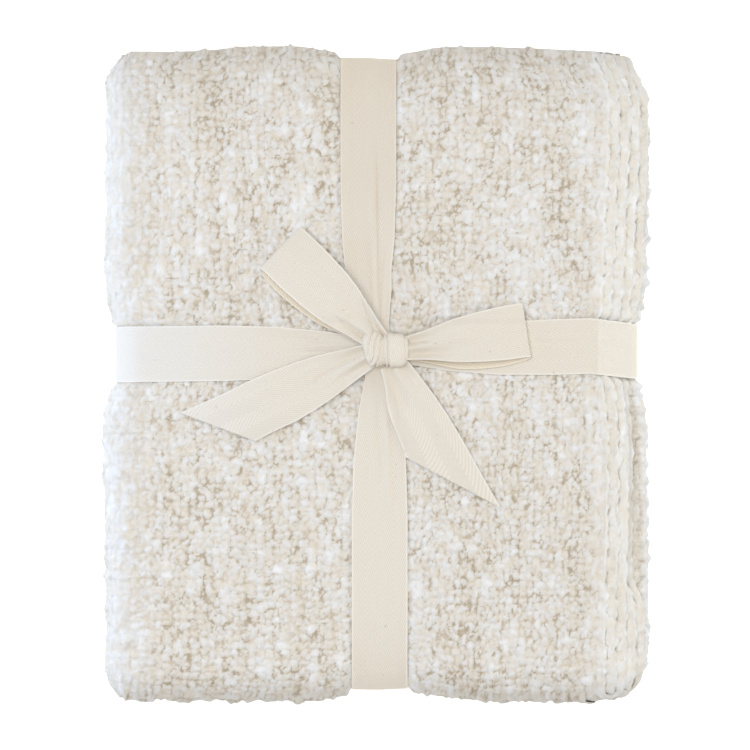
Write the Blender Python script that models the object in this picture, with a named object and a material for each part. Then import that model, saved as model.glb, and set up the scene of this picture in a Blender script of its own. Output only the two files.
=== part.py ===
"""A boucle throw, folded in four each way and tied like a parcel with a cotton twill tape in a bow.

Metres, +Z up. X runs across the folded throw and Y along it, and the origin is under its middle, on the
surface that it lies on. The throw is one closed sheet. It is folded over twice along its length, which
gives a bundle of four layers, and the bundle is folded over twice across its width. Both folds are the
same figure, a book fold: an outer turn with an inner turn inside it at one end, and two loose ends above
a third turn at the other. The tape is one solid, the bands and the bow running into one knot.
"""

from collections import namedtuple
from math import pi

import bmesh
import bpy
import numpy as np

MM = 0.001

# The throw: 50 by 60 inches of thick, loosely woven boucle.
THROW_WIDTH, THROW_LENGTH = 1270 * MM, 1524 * MM
CLOTH = 2.9 * MM
LAYER = 3.65 * MM  # from one layer to the next
BUNDLE = 4 * LAYER  # from one bundle of four layers to the next
STACK = 4 * BUNDLE - (LAYER - CLOTH)  # height of the folded throw
TURN_LOSS = 1.2 * MM  # what the turns take off half a side
HALF_X, HALF_Y = THROW_WIDTH / 8 - TURN_LOSS, THROW_LENGTH / 8 - TURN_LOSS  # folded in four each way

# Both book folds. The turns are pressed flatter than half circles.
Fold = namedtuple("Fold", "pitch turn_end turn_press loose_end loose_press inner_stations turn_steps")
LENGTH_FOLD = Fold(
    pitch=LAYER,
    turn_end=-HALF_Y,
    turn_press=0.8,
    loose_end=HALF_Y,
    loose_press=0.8,
    inner_stations=[-175 * MM, -140 * MM, -110 * MM, -24 * MM, -5 * MM, 31 * MM, 50 * MM, 175 * MM],
    turn_steps=(6, 5, 5),
)
WIDTH_FOLD = Fold(
    pitch=BUNDLE,
    turn_end=-HALF_X,
    turn_press=0.54,
    loose_end=HALF_X,
    loose_press=0.75,
    inner_stations=[-122 * MM, -37 * MM, -18 * MM, 18 * MM, 37 * MM, 112 * MM, 131 * MM],
    turn_steps=(8, 7, 6),
)
HEM_BACK = 16 * MM  # the loose ends of the bundle stop short of the turn below them
HEM_LEAN = 0.86  # and each layer of a bundle's end reaches further than the one above it
HEM_PAIR = 1.0  # and the layers keep together in twos
HEM_FROM = 20 * MM  # the lean begins here
HEM_WAVE = 1.2 * MM
HEM_SLIP, HEM_SLIP_SPAN = 8 * MM, (-140 * MM, 14 * MM)  # the lowest ends slip back here, and leave a gap
HEM_SLIP_FADE = 30 * MM
HEM_CORNER, HEM_CORNER_FROM = 8 * MM, 0.84  # the far corner of the loose ends is drawn back

# What the tape and the weight of the cloth do to the stack.
CORNERS = np.array([(15, 20), (21, 15)]) * MM  # radius of the near and far corners, left and right
LOOSE_CORNERS = np.array([23, 52]) * MM  # those of the loose fold, near and far
DROOP, DROOP_REACH = 5 * MM, 34 * MM  # the rims of the upper layers sag
RIM_ROLL, RIM_ROLL_REACH = 4 * MM, 13 * MM  # most of all at the near and far rims
PRESS_FLAT, PRESS_FADE = 18 * MM, 17 * MM  # half the pressed width, and the slope beside it
PRESS_MIDDLE, PRESS_RIM = 2.2 * MM, 7 * MM  # how deep the tape presses the upper face
PINCH_X, PINCH_Y, PINCH_REACH = 7.5 * MM, 7.0 * MM, 60 * MM  # how far the tape draws the rims in
PINCH_FADE = 24 * MM
# Slack of the far and near rims: places across them and how far in from square, in mm.
FAR_SLACK = np.array([-146, -120, -97, -77, -42, 0, 28, 63, 97, 132]), np.array([4, 4, 3, 1, 1.2, 1.5, 3, 2.3, 3, 4])
NEAR_SLACK = np.array([-146, -100, -30, 0, 30, 63, 97, 132]), np.array([1, 2, 2.5, 2, 3.5, 1, 1, 2])
CHANNEL = 3.6 * MM  # clear height for the tape under the throw
WAVE = 0.8 * MM  # unevenness of the rims

# The tape: 32 mm herringbone twill.
TAPE_WIDTH, TAPE = 32 * MM, 1.0 * MM
TAPE_CLEAR = 1.6 * MM  # from the throw to the middle of the tape
UNDER_CLEAR = {"lengthwise": 2.7 * MM, "crosswise": 1.2 * MM}  # the bands cross under the throw
TAPE_COLUMNS = np.linspace(-1, 1, 5)
RIM_STEPS = 13  # stations round each rim
UNDER_STEPS = 6

# The lengthwise band runs along x = 0 and the crosswise one along y = BAND_Y. Then both drift aside, the
# cloth under them too: places along the band, and the drift there, which fades away from the band.
BAND_Y = 13 * MM
DRIFT_X = ([-HALF_Y, 0, 60 * MM, HALF_Y], [1.5 * MM, 1.5 * MM, -5 * MM, -5 * MM])
DRIFT_Y = ([-HALF_X, 0, 125 * MM, HALF_X], [-1.5 * MM, 0, 3.4 * MM, 0.5 * MM])
DRIFT_NEAR, DRIFT_FADE = 40 * MM, 60 * MM

# The knot, where both bands, both loops and both free ends meet.
KNOT = np.array([5.8, 14.0]) * MM
KNOT_LIFT = 7.4 * MM
Wrap = namedtuple("Wrap", "x y half_x half_y half_z turn")
KNOT_WRAPS = [
    Wrap(x=-7.2, y=0.6, half_x=6.6, half_y=10.2, half_z=6.4, turn=14),
    Wrap(x=3.6, y=-0.2, half_x=8.8, half_y=9.9, half_z=7.0, turn=-3),
]

# Bands near the knot: distance from it, width there, and lift over the pressed face, all in mm.
Gather = namedtuple("Gather", "away width lift")
GATHER = [Gather(4, 15, 4.0), Gather(16, 17, 1.6), Gather(34, 24, 0.3), Gather(62, 30, 0), Gather(95, 32, 0)]

# More stations of each band as it nears the rims of the upper face.
NEAR_RIMS = {
    "crosswise": np.array([-133, -122, -110, 112, 122]) * MM,
    "lengthwise": np.array([-176, -160, -135, 135, 160, 176]) * MM,
}

# The bow: each part runs straight from start to end. A row gives the share of the way, the lift over the
# upper face, the width and the sideways shift there, and how far the edges are ahead of and behind the middle.
Row = namedtuple("Row", "way lift width shift skew", defaults=(0, 0))
Bow = namedtuple("Bow", "name start end rows")
BOW = [
    Bow(
        "upper loop",
        start=(3, 17),
        end=(-55, 72.5),
        rows=[
            Row(0.02, 5.2, 13),
            Row(0.20, 4.8, 17, -1.5),
            Row(0.45, 3.4, 27, -3.5),
            Row(0.75, 2.6, 32, -3.8),
            Row(0.95, 2.6, 33, -2.6),
            Row(1.00, 4.2, 33, -1.2),
            Row(0.97, 6.0, 33, 0),
            Row(0.75, 9.0, 33, 0),
            Row(0.45, 11.0, 29, 0),
            Row(0.20, 10.6, 19, 0),
            Row(0.02, 9.0, 13),
        ],
    ),
    Bow(
        "right loop",
        start=(14, 14.5),
        end=(85, 25.5),
        rows=[
            Row(0.02, 5.2, 13),
            Row(0.20, 4.6, 17, 1.8),
            Row(0.45, 3.6, 26, 3.6),
            Row(0.75, 3.2, 30, 3.6),
            Row(0.95, 3.2, 31, 1.8),
            Row(1.00, 4.6, 31, 0.8),
            Row(0.97, 6.2, 31, 0),
            Row(0.75, 9.6, 30, 0),
            Row(0.45, 11.2, 25, 0),
            Row(0.20, 10.6, 17, 0),
            Row(0.02, 9.0, 13),
        ],
    ),
    Bow(
        "left free end",
        start=(-2, 12),
        end=(-91, -30),
        rows=[
            Row(0.02, 6.4, 14),
            Row(0.15, 5.4, 19),
            Row(0.35, 3.9, 27),
            Row(0.60, 3.6, 32, 0, 4),
            Row(0.80, 3.0, 32, 0, 10),
            Row(1.00, 2.6, 33, 0, 16),
        ],
    ),
    Bow(
        "right free end",
        start=(8, 8),
        end=(43.6, -61.7),
        rows=[
            Row(0.02, 6.4, 15),
            Row(0.15, 5.2, 20),
            Row(0.35, 4.0, 27, 0, -6),
            Row(0.55, 3.8, 31, 0, -12),
            Row(0.78, 3.2, 33, 0, -19),
            Row(1.00, 2.6, 35, 0, -25),
        ],
    ),
]
BOW_STEPS = 2  # stations for each row of a bow part
PLEAT = 1.3 * MM  # depth of the gathers near the knot

Finish = namedtuple("Finish", "colour roughness")
FINISHES = {
    "throw": Finish((0.84, 0.79, 0.72), 0.95),
    "tie": Finish((0.86, 0.78, 0.66), 0.80),
}


def ease(share):
    """0 before 0, 1 after 1, and a smooth rise between."""
    t = np.clip(share, 0, 1)
    return t * t * (3 - 2 * t)


# --- the stack, pressed and tied -------------------------------------------------------------------


def pressed(away, fade=PRESS_FADE):
    """1 under a band and 0 clear of it."""
    return 1 - ease((np.abs(away) - PRESS_FLAT) / fade)


def drift(away, along, line):
    """How far aside a band has drifted, for a point this far from it."""
    return np.interp(along, *line) * (1 - ease((np.abs(away) - DRIFT_NEAR) / DRIFT_FADE))


def rounded(x, y, radius):
    """Draws the square corners of the stack in until they are round."""
    u, v = (np.clip(1 + (np.abs(w) - half) / radius, 0, 1) for w, half in ((x, HALF_X), (y, HALF_Y)))
    in_x, in_y = u * (1 - np.sqrt(1 - v * v / 2)), v * (1 - np.sqrt(1 - u * u / 2))
    return x - np.sign(x) * radius * in_x, y - np.sign(y) * radius * in_y


def settle(points):
    """Moves points of the square, flat stack to where the tape and the cloth's weight leave them."""
    x, y, z = np.moveaxis(np.asarray(points, float), -1, 0)
    out_x, out_y = np.abs(x) / HALF_X, np.abs(y) / HALF_Y
    under_length, under_cross = pressed(x), pressed(y - BAND_Y)
    near_x = ease((np.abs(x) - HALF_X + PINCH_REACH) / PINCH_REACH)
    near_y = ease((np.abs(y) - HALF_Y + PINCH_REACH) / PINCH_REACH)

    new_x, new_y = rounded(x, y, CORNERS[(x > 0).astype(int), (y > 0).astype(int)])
    new_x = new_x - x * PINCH_X / HALF_X * near_x * pressed(y - BAND_Y, PINCH_FADE)
    new_y = new_y - y * PINCH_Y / HALF_Y * near_y * pressed(x, PINCH_FADE)
    new_x = new_x + WAVE * out_x**2 * np.sin(21 * y + np.where(x > 0, 4.5, -1.1)) * (1 - under_cross)
    new_y = new_y + WAVE * out_y**2 * np.sin(25 * x + 0.8 * np.sign(y)) * (1 - under_length)
    new_x = new_x + drift(x, y, DRIFT_X)
    new_y = new_y + drift(y - BAND_Y, x, DRIFT_Y)
    slack = np.where(y > 0, np.interp(x / MM, *FAR_SLACK), -np.interp(x / MM, *NEAR_SLACK)) * MM
    new_y = new_y - slack * out_y**4

    droop_x = DROOP * ease((np.abs(x) - HALF_X + DROOP_REACH) / DROOP_REACH) ** 2
    droop_y = DROOP * ease((np.abs(y) - HALF_Y + DROOP_REACH) / DROOP_REACH) ** 2
    press_x = under_cross * (PRESS_MIDDLE + (PRESS_RIM - PRESS_MIDDLE) * near_x)
    press_y = under_length * (PRESS_MIDDLE + (PRESS_RIM - PRESS_MIDDLE) * near_y)
    droop_y = droop_y + RIM_ROLL * ease((np.abs(y) - HALF_Y + RIM_ROLL_REACH) / RIM_ROLL_REACH) ** 2
    down = (droop_x + droop_y) / 1.4 + np.maximum(press_x, press_y)
    up = CHANNEL * np.maximum(under_length, under_cross)
    high = np.clip(z / STACK, -0.2, 1.2)
    new_z = z - down * high + up * (1 - high)
    return np.stack([new_x, new_y, new_z], -1)


def top_face(x, y):
    """Height of the settled throw's upper face."""
    return settle(np.stack([x, y, np.full(np.shape(x), STACK)], -1))[..., 2]


# --- the fold --------------------------------------------------------------------------------------

Station = namedtuple("Station", "place height out_place out_height")


def book_fold(fold):
    """The stations of a book fold, from its upper loose end to its lower one. Heights are from the
    middle of the stack. A point that lies w inside the path is at place + w * out_place, and so on."""
    pitch = fold.pitch
    thickest = 1.5 * pitch + 0.5 * (pitch - (LAYER - CLOTH))
    inner_turn = 0.5 * pitch + 0.5 * (pitch - (LAYER - CLOTH))
    near = fold.turn_end + fold.turn_press * thickest
    far = fold.loose_end - fold.loose_press * inner_turn
    hem = fold.loose_end - HEM_BACK if fold is WIDTH_FOLD else fold.loose_end
    places = fold.inner_stations

    def run(height, outwards, towards):
        return [Station(p, height, 0, outwards) for p in (places if towards > 0 else places[::-1])]

    def turn(place, height, radius, first, last, steps, press, sign):
        found = []
        for angle in np.linspace(first, last, steps + 1):
            c, s = np.cos(angle), np.sin(angle)
            found.append(
                Station(place + press * radius * c, height + radius * s, sign * press * c, sign * s)
            )
        return found

    outer, back, inner = fold.turn_steps
    stations = [Station(hem, 1.5 * pitch, 0, -1)]
    stations += run(1.5 * pitch, -1, -1)
    stations += turn(near, 0, 1.5 * pitch, pi / 2, 3 * pi / 2, outer, fold.turn_press, -1)
    stations += run(-1.5 * pitch, 1, 1)
    stations += turn(far, -pitch, 0.5 * pitch, -pi / 2, pi / 2, back, fold.loose_press, -1)
    stations += run(-0.5 * pitch, -1, -1)
    stations += turn(near, 0, 0.5 * pitch, 3 * pi / 2, pi / 2, inner, fold.turn_press, 1)
    stations += run(0.5 * pitch, 1, 1)
    stations += [Station(hem, 0.5 * pitch, 0, 1)]
    return [np.array(column) for column in zip(*stations)]


def folded_throw(side):
    """The points of one face of the cloth, side -1 or 1, folded but not yet pressed, as a grid:
    stations across by stations along."""
    place, height, out_place, out_height = book_fold(LENGTH_FOLD)
    y = place + side * CLOTH / 2 * out_place
    inside = height + side * CLOTH / 2 * out_height  # depth in the bundle of four layers

    place, height, out_place, out_height = (column[:, None] for column in book_fold(WIDTH_FOLD))
    x = place + inside * out_place
    z = STACK / 2 + height + inside * out_height
    y = np.broadcast_to(y, x.shape)

    hem = HALF_X - HEM_BACK
    loose = np.clip((place - HEM_FROM) / (hem - HEM_FROM), 0, 1) * (height > 0)
    away = z - (STACK - BUNDLE)
    away = away - HEM_PAIR * LAYER / pi * np.sin(pi * away / LAYER)
    back = HEM_CORNER * ease((y / HALF_Y - HEM_CORNER_FROM) / (1 - HEM_CORNER_FROM)) + HEM_WAVE * np.sin(30 * y)
    start, end = HEM_SLIP_SPAN
    within = ease((y - start) / HEM_SLIP_FADE) * ease((end - y) / HEM_SLIP_FADE)
    slip = HEM_SLIP * within * ease(-away / LAYER - 0.5)
    x = x - loose * (HEM_LEAN * away + back + slip)

    loose_x, loose_y = rounded(x, y, LOOSE_CORNERS[(y > 0).astype(int)])
    below = (height < 0) & (x > 0)
    return np.stack([np.where(below, loose_x, x), np.where(below, loose_y, y), z], -1)


# --- closed sheets ---------------------------------------------------------------------------------


def closed_sheet(name, front, back):
    """An object with two faces, each a grid of points, and a rim that closes them."""
    rows, columns = front.shape[:2]
    bm = bmesh.new()
    grids = [[[bm.verts.new(p) for p in line] for line in face] for face in (front, back)]
    for grid, order in zip(grids, (1, -1)):
        for i in range(rows - 1):
            for j in range(columns - 1):
                corners = [grid[i][j], grid[i + 1][j], grid[i + 1][j + 1], grid[i][j + 1]]
                bm.faces.new(corners[::order])
    border = [(i, 0) for i in range(rows)]
    border += [(rows - 1, j) for j in range(1, columns)]
    border += [(i, columns - 1) for i in range(rows - 2, -1, -1)]
    border += [(0, j) for j in range(columns - 2, 0, -1)]
    for (i, j), (k, m) in zip(border, border[1:] + border[:1]):
        bm.faces.new([grids[0][k][m], grids[0][i][j], grids[1][i][j], grids[1][k][m]])
    bmesh.ops.triangulate(bm, faces=bm.faces)
    if bm.calc_volume(signed=True) < 0:
        bmesh.ops.reverse_faces(bm, faces=bm.faces)
    return new_object(name, bm)


def new_object(name, bm):
    mesh = bpy.data.meshes.new(name)
    bm.to_mesh(mesh)
    bm.free()
    made = bpy.data.objects.new(name, mesh)
    bpy.context.collection.objects.link(made)
    return made


def tape(name, middle):
    """A length of tape, from the grid of points on its middle: stations along it by columns across it."""
    along, across = np.gradient(middle, axis=0), np.gradient(middle, axis=1)
    normal = np.cross(along, across)
    normal /= np.linalg.norm(normal, axis=-1, keepdims=True)
    return closed_sheet(name, middle + normal * TAPE / 2, middle - normal * TAPE / 2)


# --- the tie ---------------------------------------------------------------------------------------


def outline(away, along, height):
    """The outline across the folded stack under a band: its points as places along the band and heights."""
    near = np.abs(away) < PRESS_FLAT + PRESS_FADE
    return np.stack([along[near], height[near]], -1)


def band(name, section, knot, under, to_points):
    """One turn of tape round the stack, from the knot out, under the throw and back to the knot."""
    away, width, lift = (np.array(column) * MM for column in zip(*GATHER))
    places = np.sort(np.concatenate([knot - away, knot + away, NEAR_RIMS[name]]))
    gathered = np.abs(places - knot)
    lifts = STACK + TAPE_CLEAR + np.interp(gathered, away, lift)
    top = np.stack([places, lifts, np.interp(gathered, away, width)], -1)
    rims = []
    for first in (0, 180):
        for angle in np.radians(first + np.linspace(95, 265, RIM_STEPS)):
            way = np.array([np.cos(angle), np.sin(angle)])
            clear = TAPE_CLEAR + (under - TAPE_CLEAR) * max(0, -way[1])
            place = section[np.argmax(section @ way)]
            rims.append((*(place + way * [TAPE_CLEAR, clear]), TAPE_WIDTH))
    far, near = rims[RIM_STEPS - 1], rims[RIM_STEPS]
    below = np.linspace(far, near, UNDER_STEPS + 1)[1:-1]
    wrap = np.concatenate([rims[:RIM_STEPS], below, rims[RIM_STEPS:]])
    path = np.concatenate([top[places < knot][::-1], wrap, top[places > knot][::-1]])
    place, height, width = path.T[..., None]
    across = TAPE_COLUMNS * width / 2
    place, height = np.broadcast_to(place, across.shape), np.broadcast_to(height, across.shape)
    return tape(name, settle(to_points(place, across, height)))


def smooth_rows(rows, steps):
    """Rows of a table with more rows between them, on a smooth curve through them all."""
    rows = np.array(rows, float)
    padded = np.concatenate([[2 * rows[0] - rows[1]], rows, [2 * rows[-1] - rows[-2]]])
    found = []
    for k in range(1, len(rows)):
        a, b, c, d = padded[k - 1 : k + 3]
        for t in np.arange(steps) / steps:
            found.append(
                0.5 * (2 * b + (c - a) * t + (2 * a - 5 * b + 4 * c - d) * t**2 + (3 * b - a - 3 * c + d) * t**3)
            )
    return np.array(found + [rows[-1]])


def bow_part(bow):
    """A loop or a free end, which lies over the upper face."""
    start, end = np.array(bow.start) * MM, np.array(bow.end) * MM
    length = np.linalg.norm(end - start)
    ahead = (end - start) / length
    aside = np.array([ahead[1], -ahead[0]])
    way, lift, width, shift, skew = smooth_rows(bow.rows, BOW_STEPS).T[..., None]
    lift, width, shift, skew = (column * MM for column in (lift, width, shift, skew))
    along = way * length + skew * TAPE_COLUMNS
    across = shift + width / 2 * TAPE_COLUMNS
    flat = start + along[..., None] * ahead + across[..., None] * aside
    gathered = ease((0.94 * TAPE_WIDTH - width) / (0.5 * TAPE_WIDTH))
    pleats = PLEAT * gathered * np.cos(pi * 2 * TAPE_COLUMNS)
    height = top_face(flat[..., 0], flat[..., 1]) + lift + pleats
    return tape(bow.name, np.concatenate([flat, height[..., None]], -1))


def knot_wrap(number, wrap):
    """One of the turns round the knot: a ball pressed square."""
    bm = bmesh.new()
    bmesh.ops.create_uvsphere(bm, u_segments=14, v_segments=9, radius=1)
    turn = wrap.turn * pi / 180
    for vert in bm.verts:
        p = np.sign(vert.co) * np.abs(np.array(vert.co)) ** 0.75
        p = p * np.array([wrap.half_x, wrap.half_y, wrap.half_z]) * MM
        x = np.cos(turn) * p[0] - np.sin(turn) * p[1] + KNOT[0] + wrap.x * MM
        y = np.sin(turn) * p[0] + np.cos(turn) * p[1] + KNOT[1] + wrap.y * MM
        vert.co = (x, y, p[2] + top_face(KNOT[0], KNOT[1]) + KNOT_LIFT)
    return new_object(f"wrap {number}", bm)


def make_throw():
    return closed_sheet("throw", settle(folded_throw(-1)), settle(folded_throw(1)))


def make_bands():
    x, y, z = np.moveaxis(np.concatenate([folded_throw(-1), folded_throw(1)]), -1, 0)
    return [
        band(
            "crosswise",
            outline(y - BAND_Y, x, z),
            KNOT[0],
            UNDER_CLEAR["crosswise"],
            lambda place, across, height: np.stack([place, BAND_Y + across, height], -1),
        ),
        band(
            "lengthwise",
            outline(x, y, z),
            KNOT[1],
            UNDER_CLEAR["lengthwise"],
            lambda place, across, height: np.stack([across, place, height], -1),
        ),
    ]


def tie_parts():
    parts = [knot_wrap(number, wrap) for number, wrap in enumerate(KNOT_WRAPS)]
    return parts + make_bands() + [bow_part(bow) for bow in BOW]


def make_tie():
    """Joins the knot, the bands and the bow into one solid."""
    tie, *others = tie_parts()
    tie.name = tie.data.name = "tie"
    for other in others:
        join = tie.modifiers.new(other.name, "BOOLEAN")
        join.operation, join.object, join.solver = "UNION", other, "EXACT"
        joined = bpy.data.meshes.new_from_object(tie.evaluated_get(bpy.context.evaluated_depsgraph_get()))
        tie.modifiers.clear()
        tie.data = joined
        bpy.data.objects.remove(other)
    tie.data.name = "tie"
    return tie


def finish(made, name):
    look = FINISHES[name]
    material = bpy.data.materials.new(name)
    material.use_nodes = True
    shader = material.node_tree.nodes["Principled BSDF"]
    shader.inputs["Base Color"].default_value = (*look.colour, 1)
    shader.inputs["Roughness"].default_value = look.roughness
    shader.inputs["Metallic"].default_value = 0
    material.diffuse_color = (*look.colour, 1)
    made.data.materials.clear()
    made.data.materials.append(material)
    made.data.shade_smooth()


def main():
    for old in list(bpy.data.objects):
        bpy.data.objects.remove(old)
    finish(make_throw(), "throw")
    finish(make_tie(), "tie")


if __name__ == "__main__":
    main()
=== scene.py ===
"""The looks of a boucle throw, folded in four each way and tied with a twill tape in a bow.

Metres, +Z up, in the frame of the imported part. The throw is one closed sheet on the fold of its solid, and
where it shows, woven boucle yarns stand on it as a finer surface. The tape is closed sheets that meet in
the knot. Places on the cloth are distances across and along it, and `cloth` folds and ties them, so the
weave runs on round each fold.
"""

from collections import namedtuple
from math import pi

import bpy
import numpy as np
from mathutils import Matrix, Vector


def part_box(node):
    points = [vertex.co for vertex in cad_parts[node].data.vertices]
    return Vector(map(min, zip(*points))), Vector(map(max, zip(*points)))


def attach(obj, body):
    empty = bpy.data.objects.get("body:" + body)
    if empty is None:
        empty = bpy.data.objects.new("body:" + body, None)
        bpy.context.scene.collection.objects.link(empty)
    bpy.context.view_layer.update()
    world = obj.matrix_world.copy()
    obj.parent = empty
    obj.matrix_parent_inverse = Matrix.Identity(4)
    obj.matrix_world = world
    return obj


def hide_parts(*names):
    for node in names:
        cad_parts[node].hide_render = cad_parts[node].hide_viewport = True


MM = 0.001
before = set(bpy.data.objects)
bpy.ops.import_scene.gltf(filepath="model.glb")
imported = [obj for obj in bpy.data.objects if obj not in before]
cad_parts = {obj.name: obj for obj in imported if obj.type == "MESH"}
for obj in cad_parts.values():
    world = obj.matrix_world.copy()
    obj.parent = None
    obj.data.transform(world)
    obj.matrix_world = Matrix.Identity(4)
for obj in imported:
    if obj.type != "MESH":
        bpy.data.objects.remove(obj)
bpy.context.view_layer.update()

# The throw: 50 by 60 inches, folded over twice each way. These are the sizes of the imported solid.
THROW_WIDTH, THROW_LENGTH = 1270 * MM, 1524 * MM
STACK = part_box("throw")[1].z  # height of the folded throw
LAYER, GAP = 3.65 * MM, 0.75 * MM  # from one layer to the next, and the air in that
CLOTH = LAYER - GAP
BUNDLE = 4 * LAYER  # from one bundle of four layers to the next
TURN_LOSS = 1.2 * MM  # what the turns take off half a side
HALF_X, HALF_Y = THROW_WIDTH / 8 - TURN_LOSS, THROW_LENGTH / 8 - TURN_LOSS

# Both book folds. The turns are pressed flatter than half circles.
Fold = namedtuple("Fold", "pitch half turn_press loose_press hem_back")
LENGTH_FOLD = Fold(pitch=LAYER, half=HALF_Y, turn_press=0.8, loose_press=0.8, hem_back=0)
WIDTH_FOLD = Fold(pitch=BUNDLE, half=HALF_X, turn_press=0.54, loose_press=0.75, hem_back=16 * MM)

# The loose ends on the right, where each layer of a bundle reaches further than the one above it.
HEM_LEAN = 0.86  # how much further, as a share of its depth
HEM_FROM, HEM_MOST = 20 * MM, 1.2  # where that begins, and the most it grows to
HEM_WAVE, HEM_WAVES = 1.2 * MM, 30  # their unevenness, and its radians in each metre
HEM_SLIP, HEM_SLIP_FADE = 8 * MM, 30 * MM  # the lowest of them slip back, and leave a gap
HEM_SLIP_SPAN = -140 * MM, 14 * MM
HEM_CORNER, HEM_CORNER_FROM = 8 * MM, 0.84  # their far corner is drawn back

# What the tape and the weight of the cloth do to the stack.
CORNERS = np.array([(15, 20), (21, 15)]) * MM  # radius of the near and far corners, left and right
LOOSE_CORNERS = np.array([23, 52]) * MM  # those of the loose fold, near and far
DROOP, DROOP_REACH = 5 * MM, 34 * MM  # the rims of the upper layers sag
RIM_ROLL, RIM_ROLL_REACH = 4 * MM, 13 * MM  # most of all at the near and far rims
DROOP_PARTS = 1.4  # what the sags from both sides, added up, are divided by
PRESS_FLAT = 15.5 * MM  # half the width that the tape presses
PRESS_STEP, PRESS_FADE, PRESS_SHARE = 4 * MM, 17 * MM, 0.5  # the step and slope beside it, its share
PRESS_MIDDLE, PRESS_RIM = 2.2 * MM, 7 * MM  # how deep the tape presses the upper face
PINCH_X, PINCH_Y, PINCH_REACH = 7.5 * MM, 7.0 * MM, 60 * MM  # how far the tape draws the rims in
PINCH_FADE = 30 * MM
# Slack of the far and near rims: places across them and how far in from square, in mm.
FAR_SLACK = [-146, -120, -97, -77, -42, 0, 28, 63, 97, 132], [4, 4, 3, 1, 1.2, 1.5, 3, 2.3, 3, 4]
NEAR_SLACK = [-146, -100, -30, 0, 30, 63, 97, 132], [1, 2, 2.5, 2, 3.5, 1, 1, 2]
CHANNEL = 3.6 * MM  # clear height for the tape under the throw
FLOOR = 0.02 * MM  # no yarn hangs lower
WAVE, SIDE_WAVES, RIM_WAVES = 0.8 * MM, 21, 25  # unevenness of the outline, and its radians in each metre
RIGHT_PHASE, LEFT_PHASE, RIM_PHASE = 4.5, -1.1, 0.8

# The boucle yarns.
YARN = 4.75 * MM  # from one yarn to the next, both ways
TUFT = 3.4 * MM  # from one of the bigger loops of the yarn to the next
CURL = 2.1 * MM  # from one small loop of the yarn to the next
ROUND = 0.65  # shape of a bump: 0.5 is a ball and 1 a hill
YARN_SUNK = 0.8 * MM  # the yarns' feet are this far inside the solid's face
YARN_MOST = 2.5 * MM  # height of the thickest slub
YARN_PRESSED = 1.3 * MM  # most height under the tape
NUB, NUB_FADE = 2.2 * MM, 7 * MM  # how much further a nub stands out at the rims, and how far in they go on
LUMP, LUMP_SIZE, LUMP_LENGTH = 1.6 * MM, 4.6 * MM, 26 * MM  # the thick and thin yarns that run over a turn
SWAY_U, SWAY_V, JITTER = 1.8 * MM, 2.4 * MM, 1.0 * MM  # how far the yarns stray, slowly and from loop to loop
CREASE, CREASE_REACH = 0.4 * MM, 0.75 * MM  # depth of the crease between two yarns, and how near one is to it, for both its depth and its painted shade
LOW_START, LOW_REACH = 0.1 * MM, 1.9 * MM  # the heights over which the painted shade in a hollow deepens
CURL_EDGE = 0.3 * MM  # a small loop stands this far over its shaded edge
FLUFF = 0.12  # unevenness of the yarns, in mm
CORE = 1.1 * MM  # thickness of the plain sheet behind the yarns
FINE = 0.8 * MM  # from one point to the next in the skins that show most

# Painted shade in the weave's hollows and beside its small loops, the deeper tone of the dullest yarns, and
# the streaks and clumps that are paler.
HOLLOW_SHADE, CURL_SHADE, DULL_DEEP, STREAK_PALE, CLUMP_PALE = 0.74, 0.28, 0.36, 0.24, 0.08
NEAR_PAINTED_SHADE, NEAR_PAINTED_SHADE_REACH = 0.16, 22 * MM  # painted shade: the near and far rims are darkened, as they turn away from the light
FAR_PAINTED_SHADE, FAR_PAINTED_SHADE_REACH = 0.16, 20 * MM
FAR_HOLLOW_SHADE = 2.6  # and the far one gets more painted tan shade in its hollows
# Painted shade that darkens all of the loose loop a little.
LOOP_PAINTED_SHADE = 0.05

# The cut edges, in from the edge: the yarns run more along them, are firmer and paler, and puff out.
HEM_STRETCH, HEM_STRETCH_FROM, HEM_STRETCH_FADE = 0.75, 3 * MM, 6 * MM
HEM_FIRM, HEM_FIRM_REACH = 0.35, 8 * MM
HEM_PALE, HEM_PALE_REACH = 0.3, 4 * MM
HEM_PUFF, HEM_PUFF_REACH = 0.5 * MM, 1.4 * MM
HEM_NUBS = 0.45  # their nubs are smaller
HEM_ROUND = 1.6  # length of weave over the edge for each length of its curve
HEM_OUT = 0.6  # how far the yarns on the very edge lean out
HEM_BARE = 10 * MM, 8 * MM  # the other skins begin this far from the first and last hem

# The tape: 32 mm herringbone twill.
TAPE_WIDTH, TAPE = 32 * MM, 0.6 * MM
TAPE_CLEAR = 1.6 * MM  # from the throw to the middle of the tape
UNDER_CLEAR = {"lengthwise": 2.7 * MM, "crosswise": 1.2 * MM}  # the bands cross under the throw
TAPE_EDGE = 0.5 * MM, 2 * MM  # the yarns are pressed this far past its edge, and rise again over this
TAPE_COLUMNS = np.linspace(-1, 1, 61)
# Bands near the knot: distance from it, width there, and lift over the pressed face.
GATHER = np.array([(4, 15, 4.0), (16, 17, 1.6), (34, 24, 0.3), (62, 30, 0), (95, 32, 0)]) * MM
GATHER_AWAY, GATHER_WIDTH, GATHER_LIFT = GATHER.T

# The lengthwise band runs along x = 0, the crosswise one along y = BAND_Y, and both drift aside with the
# cloth under them: places along the band, and the drift there.
BAND_Y = 13 * MM
DRIFT_X = ([-HALF_Y, 0, 60 * MM, HALF_Y], [1.5 * MM, 1.5 * MM, -5 * MM, -5 * MM])
DRIFT_Y = ([-HALF_X, 0, 125 * MM, HALF_X], [-1.5 * MM, 0, 3.4 * MM, 0.5 * MM])
DRIFT_NEAR, DRIFT_FADE = 40 * MM, 60 * MM

KNOT = np.array([5.8, 14.0]) * MM  # where both bands, both loops and both free ends meet
KNOT_LIFT = 7.4 * MM


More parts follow.
